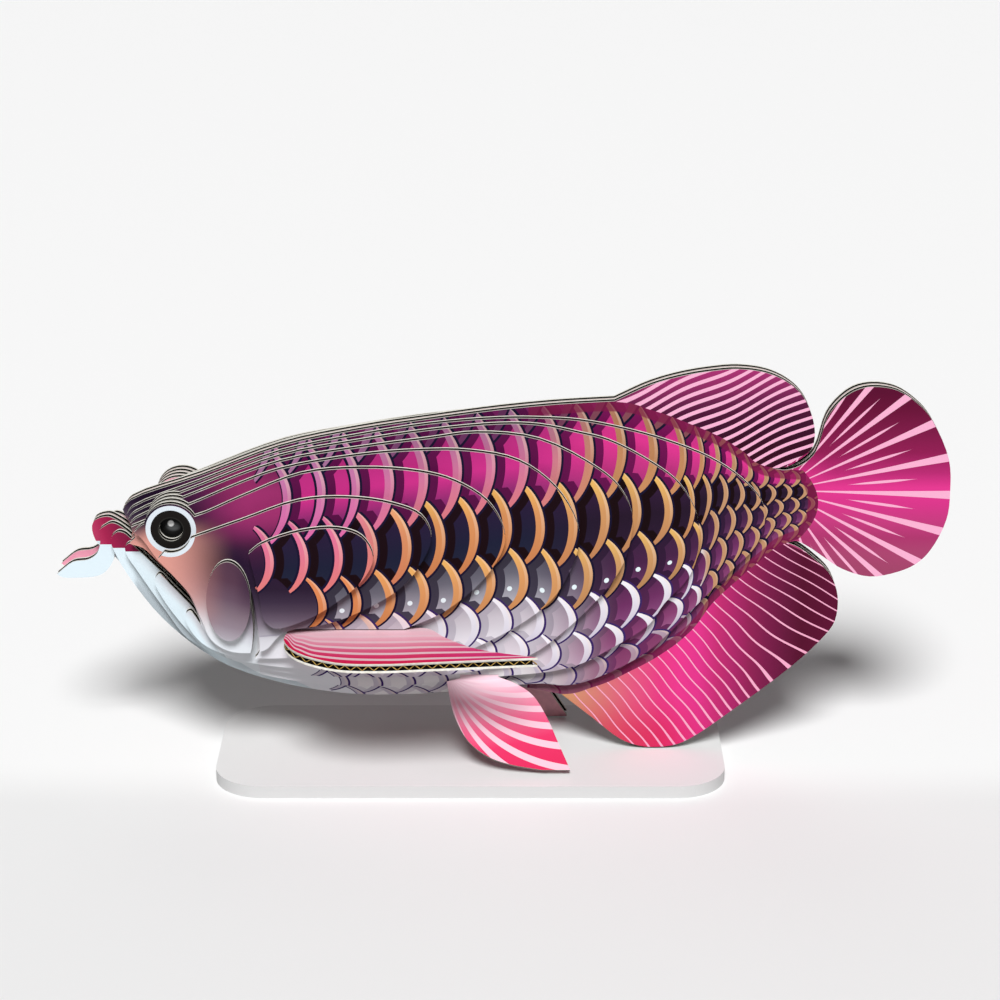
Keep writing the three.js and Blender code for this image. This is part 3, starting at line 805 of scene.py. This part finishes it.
pectoral_print = new_material("pectoral_print")
x, y, z = object_place(pectoral_print.node_tree)
x = x * 1000
out = y.size() * 1000
from_edge = x.curve(PECTORAL_EDGE) - out
lane = from_edge / x.curve([(-35, 0.2), (-32.5, 0.5), (-29, 0.8), (-22, 1), (-10, 1), (6, 0.55)])
ground = lane.ramp(0, 16, PECTORAL_STOPS)
rear = x.fade(-14, -2) * lane.fade(11, 4)
ground = (rear * 0.75).over(ground, "#de2f7e")
streak = ((lane / STREAK_PITCH + x * 0.012).part() - 0.5).size()
streaks = streak.below(x.curve([(-34, 0.22), (-25, 0.19), (-8, 0.16), (6, 0.05)])) * from_edge.above(0.5)
streaks = streaks * lane.fade(13, 6).mix(0.35, 0.9)
varnished(pectoral_print, streaks.over(ground, "#f6d6df"), VARNISH, 0.2)

for side, outward in SIDES.items():
    node = f"pectoral_fin_{side}"
    papers = [pectoral_print, pink_back, liner_edge, core_painted_shade]
    cut_card(f"pectoral_{side}", node, UP, papers)
    flutes = flute_wave(f"flutes_pectoral_{side}", node, UP, LENGTHWAYS, kraft_medium, SHALLOW)


# The pelvic fins are splayed thirty degrees and carry the fish on their feet. Broad pale rays
# sweep from the root to the trailing edge over a ground that deepens to crimson at the foot.

SPLAY = math.radians(30)
FAN_ROOT = (-8.3, 15.5)
FAN_PITCH = 0.175
PELVIC_STOPS = [(0, "#e01a58"), (4, "#e32662"), (8, "#ee648e"), (12, "#f7a9c1"), (15, "#fddbe7")]

pelvic_print = new_material("pelvic_print")
x, z = flank_place(pelvic_print.node_tree)
rise = z / math.cos(SPLAY)
fan_x = x - FAN_ROOT[0]
fan_z = rise * -1 + FAN_ROOT[1]
fan_reach = fan_x.slant(fan_z)
fan = fan_z.worked("ARCTAN2", fan_x) + fan_reach * 0.0247
ground = (rise + (x + 2) * -0.25).ramp(0, 16, PELVIC_STOPS)
ray_width = fan_reach.curve([(0, 0.2), (8, 0.22), (20, 0.17), (28, 0.12)])
rays = ((fan / FAN_PITCH + 0.41).part() - 0.5).size().below(ray_width)
varnished(pelvic_print, (rays * 0.9).over(ground, "#f8cfde"), VARNISH, 0.2)
# The pelvic fins' backs take a darker, duller pink than the other backs: painted shade of the far fin's
# inner face
pelvic_back_painted_shade = paper("pelvic_back_painted_shade", "#e0a3ae", "#d29aa5", 0.5, 700)

for side, outward in SIDES.items():
    leant = Vector((0, outward.y * math.cos(SPLAY), math.sin(SPLAY)))
    node = f"pelvic_fin_{side}"
    papers = [pelvic_print, pelvic_back_painted_shade, liner_edge, core_painted_shade]
    cut_card(f"pelvic_{side}", node, leant, papers)
    flutes = flute_wave(f"flutes_pelvic_{side}", node, leant, LENGTHWAYS, medium_painted_shade, DEEP)


# The base plate is a plain sheet of white acrylic with rounded corners. Its upright sides are
# painted darker than its top, painted shade that damps their bright lit edge. It keeps the model
# from tipping onto its chin.

PLATE_FACE = 0.76
PLATE_SIDE_PAINTED_SHADE = 0.55

plate_white = new_material("plate_white")
tree = plate_white.node_tree
shader = tree.nodes["Principled BSDF"]
geometry = tree.nodes.new("ShaderNodeNewGeometry")
facing = tree.nodes.new("ShaderNodeSeparateXYZ")
tree.links.new(geometry.outputs["Normal"], facing.inputs[0])
# Upright faces get the darker tone: painted shade
plate_tone_with_painted_shade = Mark(tree, facing.outputs["Z"]).fade(0.2, 0.9).mix(PLATE_SIDE_PAINTED_SHADE, PLATE_FACE)
tree.links.new(plate_tone_with_painted_shade.socket, shader.inputs["Base Color"])
shader.inputs["Specular IOR Level"].default_value = 0.3
rough = mottle(tree, 60, 2).times_plus(0.12, 0.45)
tree.links.new(rough.socket, shader.inputs["Roughness"])
plate_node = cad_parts["stand_base"]
plate_node.data.materials.clear()
plate_node.data.materials.append(plate_white)


# The studio: a pale seamless floor, a large soft light high in front, a weaker one behind and a
# sky that is pale to look at but sheds little light. The camera looks at the left side from a
# little above, as the photograph does.

FLOOR_REACH = 3
FLOOR_BEHIND = 0.94
FLOOR_PAINTED_SHADE = 0.83

floor_shape = bmesh.new()
bmesh.ops.create_grid(floor_shape, x_segments=1, y_segments=1, size=FLOOR_REACH)
floor_mesh = bpy.data.meshes.new("studio_floor")
floor_shape.to_mesh(floor_mesh)
floor_shape.free()
floor_paper = new_material("floor_paper")
tree = floor_paper.node_tree
floor_shader = tree.nodes["Principled BSDF"]
x, y, z = object_place(tree)
# The floor is painted darker in front of the model: painted shade standing for the soft shadow there
floor_tone_with_painted_shade = y.fade(-0.002, -0.02).mix(FLOOR_BEHIND, FLOOR_PAINTED_SHADE)
tree.links.new(floor_tone_with_painted_shade.socket, floor_shader.inputs["Base Color"])
floor_shader.inputs["Roughness"].default_value = 0.7
floor_mesh.materials.append(floor_paper)
studio_floor = bpy.data.objects.new("studio_floor", floor_mesh)
bpy.context.scene.collection.objects.link(studio_floor)

SKY_LIGHT = 0.09
SKY_SEEN = 0.9

sky = bpy.data.worlds.new("studio_sky")
sky.use_nodes = True
tree = sky.node_tree
backdrop = tree.nodes["Background"]
backdrop.inputs["Color"].default_value = (1, 1, 1, 1)
looked_at = Mark(tree, tree.nodes.new("ShaderNodeLightPath").outputs["Is Camera Ray"])
tree.links.new(looked_at.mix(SKY_LIGHT, SKY_SEEN).socket, backdrop.inputs["Strength"])
bpy.context.scene.world = sky

# Each light has its strength, the degrees of sky that it fills, and how far it leans from overhead
LIGHTS = {"soft_box": (3.86, 20, 43), "rim_light": (0.22, 34, -46)}
for name, (energy, size, tilt) in LIGHTS.items():
    light = bpy.data.lights.new(name, "SUN")
    light.energy = energy
    light.angle = math.radians(size)
    light_at = bpy.data.objects.new(name, light)
    light_at.rotation_euler = (math.radians(tilt), 0, 0)
    bpy.context.scene.collection.objects.link(light_at)

LOOK_AT = Vector((-0.35, 0, 41.1 + LIFT)) * MM
ELEVATION = math.radians(19)
DISTANCE = 445 * MM
SENSOR = 36
LENS = 2.865 * SENSOR

lens = bpy.data.cameras.new("camera")
lens.sensor_width = SENSOR
lens.lens = LENS
lens.clip_start = 0.01
camera = bpy.data.objects.new("camera", lens)
camera.location = LOOK_AT + Vector((0, -math.cos(ELEVATION), math.sin(ELEVATION))) * DISTANCE
camera.rotation_euler = (math.pi / 2 - ELEVATION, 0, 0)
bpy.context.scene.collection.objects.link(camera)
bpy.context.scene.camera = camera
bpy.context.scene.view_settings.view_transform = "Standard"
